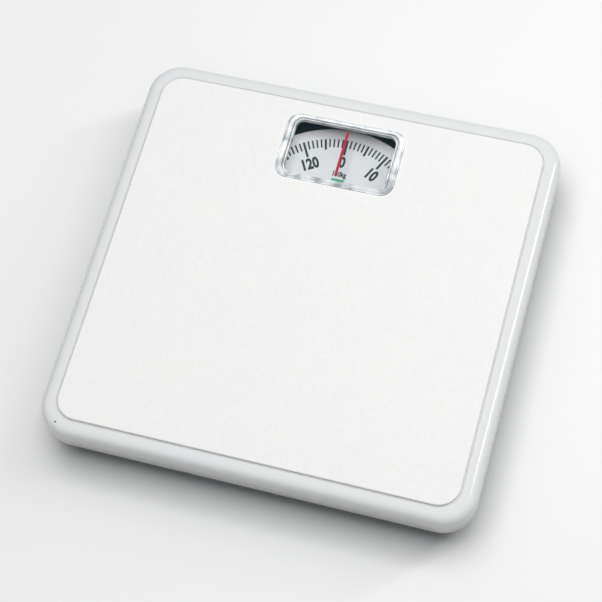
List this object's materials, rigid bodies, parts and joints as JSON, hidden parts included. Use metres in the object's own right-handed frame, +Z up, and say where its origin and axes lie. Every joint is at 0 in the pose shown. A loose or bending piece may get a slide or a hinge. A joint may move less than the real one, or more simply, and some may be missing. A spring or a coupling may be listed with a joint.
{
  "type": "mechanical personal weighing scale",
  "caption": "Low rounded platform with a window over a printed dial, carried by corner levers that pull a spring and turn the dial through a rack and pinion.",
  "frame": {"origin": "on the floor, under the middle of the platform", "axes": "+X across to the user's right, +Y towards the window, +Z up out of the mat"},
  "size_m": [0.27, 0.26, 0.0499],
  "materials": {
    "base_pan": "dull coat",
    "foot_front_left": "moulded",
    "foot_rear_left": "moulded",
    "foot_front_right": "moulded",
    "foot_rear_right": "moulded",
    "fulcrum_bracket_front_left": "zinc plated",
    "fulcrum_bracket_front_right": "zinc plated",
    "fulcrum_bracket_rear_left": "zinc plated",
    "fulcrum_bracket_rear_right": "zinc plated",
    "crank_bracket": "zinc plated",
    "crank_axle": "oiled",
    "screw_bracket": "zinc plated",
    "rack_guide": "moulded",
    "spring_post": "zinc plated",
    "shaft_cup": "machined",
    "dial_bridge": "zinc plated",
    "tie_tab_lower_left": "zinc plated",
    "tie_tab_lower_right": "zinc plated",
    "main_spring": "oiled",
    "rack_spring": "oiled",
    "tie_spring_left": "oiled",
    "tie_spring_right": "oiled",
    "platform_cover": "semi-gloss enamel",
    "platform_mat": "fine pebble grain",
    "window_bezel": "clear moulded",
    "window_lens": "clear",
    "pointer": "satin",
    "platform_post_front_left": "zinc plated",
    "platform_post_front_right": "zinc plated",
    "platform_post_rear_left": "zinc plated",
    "platform_post_rear_right": "zinc plated",
    "tie_tab_upper_left": "zinc plated",
    "tie_tab_upper_right": "zinc plated",
    "bell_crank": "zinc plated",
    "crank_spring_pin": "oiled",
    "spring_eye": "zinc plated",
    "spring_carrier": "moulded",
    "zero_knob": "zinc plated",
    "zero_screw": "oiled",
    "rack": "machined",
    "dial_disc": "printed",
    "dial_hub": "machined",
    "dial_nut": "machined",
    "pinion_shaft": "machined",
    "long_lever_left": "zinc plated",
    "fulcrum_knife_front_left": "oiled",
    "load_knife_front_left": "oiled",
    "lever_saddle_left": "oiled",
    "short_lever_left": "zinc plated",
    "fulcrum_knife_rear_left": "oiled",
    "load_knife_rear_left": "oiled",
    "long_lever_right": "zinc plated",
    "fulcrum_knife_front_right": "oiled",
    "load_knife_front_right": "oiled",
    "lever_saddle_right": "oiled",
    "short_lever_right": "zinc plated",
    "fulcrum_knife_rear_right": "oiled",
    "load_knife_rear_right": "oiled"
  },
  "bodies": {
    "base": {"base_pan": "base_pan", "foot_front_left": "foot_front_left", "foot_rear_left": "foot_rear_left", "foot_front_right": "foot_front_right", "foot_rear_right": "foot_rear_right", "fulcrum_bracket_front_left": "fulcrum_bracket_front_left", "fulcrum_bracket_front_right": "fulcrum_bracket_front_right", "fulcrum_bracket_rear_left": "fulcrum_bracket_rear_left", "fulcrum_bracket_rear_right": "fulcrum_bracket_rear_right", "crank_bracket": "crank_bracket", "crank_axle": "crank_axle", "screw_bracket": "screw_bracket", "rack_guide": "rack_guide", "spring_post": "spring_post", "shaft_cup": "shaft_cup", "dial_bridge": "dial_bridge", "tie_tab_lower_left": "tie_tab_lower_left", "tie_tab_lower_right": "tie_tab_lower_right", "main_spring": "main_spring", "rack_spring": "rack_spring", "tie_spring_left": "tie_spring_left", "tie_spring_right": "tie_spring_right"},
    "platform": {"platform_cover": "platform_cover", "platform_mat": "platform_mat", "window_bezel": "window_bezel", "window_lens": "window_lens", "pointer": "pointer", "platform_post_front_left": "platform_post_front_left", "platform_post_front_right": "platform_post_front_right", "platform_post_rear_left": "platform_post_rear_left", "platform_post_rear_right": "platform_post_rear_right", "tie_tab_upper_left": "tie_tab_upper_left", "tie_tab_upper_right": "tie_tab_upper_right"},
    "crank": {"bell_crank": "bell_crank", "crank_spring_pin": "crank_spring_pin"},
    "eye": {"spring_eye": "spring_eye"},
    "carrier": {"spring_carrier": "spring_carrier"},
    "knob": {"zero_knob": "zero_knob", "zero_screw": "zero_screw"},
    "rack_bar": {"rack": "rack"},
    "dial": {"dial_disc": "dial_disc", "dial_hub": "dial_hub", "dial_nut": "dial_nut", "pinion_shaft": "pinion_shaft"},
    "long_lever_body_left": {"long_lever_left": "long_lever_left", "fulcrum_knife_front_left": "fulcrum_knife_front_left", "load_knife_front_left": "load_knife_front_left", "lever_saddle_left": "lever_saddle_left"},
    "short_lever_body_left": {"short_lever_left": "short_lever_left", "fulcrum_knife_rear_left": "fulcrum_knife_rear_left", "load_knife_rear_left": "load_knife_rear_left"},
    "long_lever_body_right": {"long_lever_right": "long_lever_right", "fulcrum_knife_front_right": "fulcrum_knife_front_right", "load_knife_front_right": "load_knife_front_right", "lever_saddle_right": "lever_saddle_right"},
    "short_lever_body_right": {"short_lever_right": "short_lever_right", "fulcrum_knife_rear_right": "fulcrum_knife_rear_right", "load_knife_rear_right": "load_knife_rear_right"}
  },
  "joints": [
    {"name": "dial_turn", "type": "hinge", "parent": "base", "child": "dial", "pos_m": [0, 0.0475, 0.03], "axis": [0, 0, 1], "range_deg": [0, 360], "stiffness_Nm_per_rad": 0.0325, "springref_deg": -5.73},
    {"name": "platform_press", "type": "slide", "parent": "base", "child": "platform", "axis": [0, 0, -1], "range_m": [0, 0.0008974], "deforming": ["tie_spring_left", "tie_spring_right"]},
    {"name": "long_lever_tilt_left", "type": "hinge", "parent": "base", "child": "long_lever_body_left", "pos_m": [-0.105, -0.1, 0.016], "axis": [-0.8955, 0.4451, 0], "range_deg": [0, 2.14]},
    {"name": "short_lever_tilt_left", "type": "hinge", "parent": "base", "child": "short_lever_body_left", "pos_m": [-0.105, 0.1, 0.016], "axis": [0.8955, 0.4451, 0], "range_deg": [0, 2.14]},
    {"name": "long_lever_tilt_right", "type": "hinge", "parent": "base", "child": "long_lever_body_right", "pos_m": [0.105, -0.1, 0.016], "axis": [-0.8955, -0.4451, 0], "range_deg": [0, 2.14]},
    {"name": "short_lever_tilt_right", "type": "hinge", "parent": "base", "child": "short_lever_body_right", "pos_m": [0.105, 0.1, 0.016], "axis": [0.8955, -0.4451, 0], "range_deg": [0, 2.14]},
    {"name": "crank_swing", "type": "hinge", "parent": "base", "child": "crank", "pos_m": [0, 0.078, 0.0113], "axis": [1, 0, 0], "range_deg": [0, 57.44]},
    {"name": "eye_slide", "type": "slide", "parent": "base", "child": "eye", "axis": [0, -1, 0], "range_m": [0, 0.00866], "deforming": ["main_spring"]},
    {"name": "rack_slide", "type": "slide", "parent": "base", "child": "rack_bar", "axis": [0, -1, 0], "range_m": [0, 0.01474], "deforming": ["rack_spring"]},
    {"name": "knob_turn", "type": "hinge", "parent": "base", "child": "knob", "pos_m": [0, 0.1248, 0.01977], "axis": [0, -1, 0], "range_deg": [-360, 360]},
    {"name": "carrier_slide", "type": "slide", "parent": "base", "child": "carrier", "axis": [0, -1, 0], "range_m": [-0.00072, 0.00072]}
  ],
  "couplings": [
    {"joint": "platform_press", "follows": "dial_turn", "m_per_rad": 0.00014002},
    {"joint": "long_lever_tilt_left", "follows": "dial_turn", "ratio": 0.0058354},
    {"joint": "short_lever_tilt_left", "follows": "dial_turn", "ratio": 0.0058354},
    {"joint": "long_lever_tilt_right", "follows": "dial_turn", "ratio": 0.0058354},
    {"joint": "short_lever_tilt_right", "follows": "dial_turn", "ratio": 0.0058354},
    {"joint": "crank_swing", "follows": "dial_turn", "ratio": 0.15643},
    {"joint": "eye_slide", "follows": "dial_turn", "m_per_rad": 0.0013519},
    {"joint": "rack_slide", "follows": "dial_turn", "m_per_rad": 0.0023},
    {"joint": "carrier_slide", "follows": "knob_turn", "m_per_rad": 0.00011141}
  ]
}
